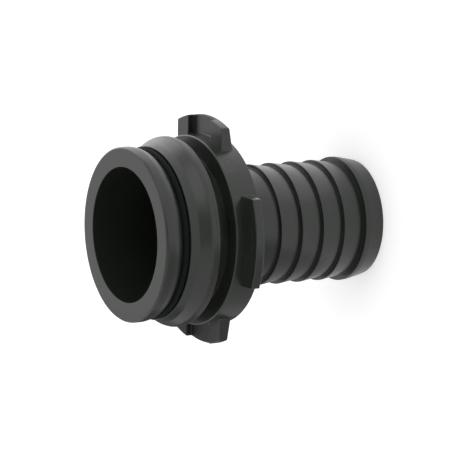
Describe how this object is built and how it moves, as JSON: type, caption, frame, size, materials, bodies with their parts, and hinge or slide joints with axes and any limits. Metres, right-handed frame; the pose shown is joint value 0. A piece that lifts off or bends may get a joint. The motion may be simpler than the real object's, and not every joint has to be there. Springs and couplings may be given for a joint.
{
  "type": "straight hose connector",
  "caption": "Straight moulded connector: a sealed spigot with a bead, a clip groove and a lugged flange, and a barbed tail for a hose.",
  "frame": {"origin": "on the axis, in the plane of the hose tail's end, on which the part stands", "axes": "+Z along the axis towards the spigot's face; the two lugs with keyways lie on +X and -X, the two plain lugs on +Y and -Y"},
  "size_m": [0.0956, 0.0956, 0.1102],
  "materials": {
    "moulded_plastic": "black injection-moulded plastic, satin, with a faint flow pattern",
    "seal_rubber": "black moulded rubber, dull"
  },
  "bodies": {
    "root": {"connector_body": "moulded_plastic", "seal_ring": "seal_rubber"}
  },
  "joints": []
}
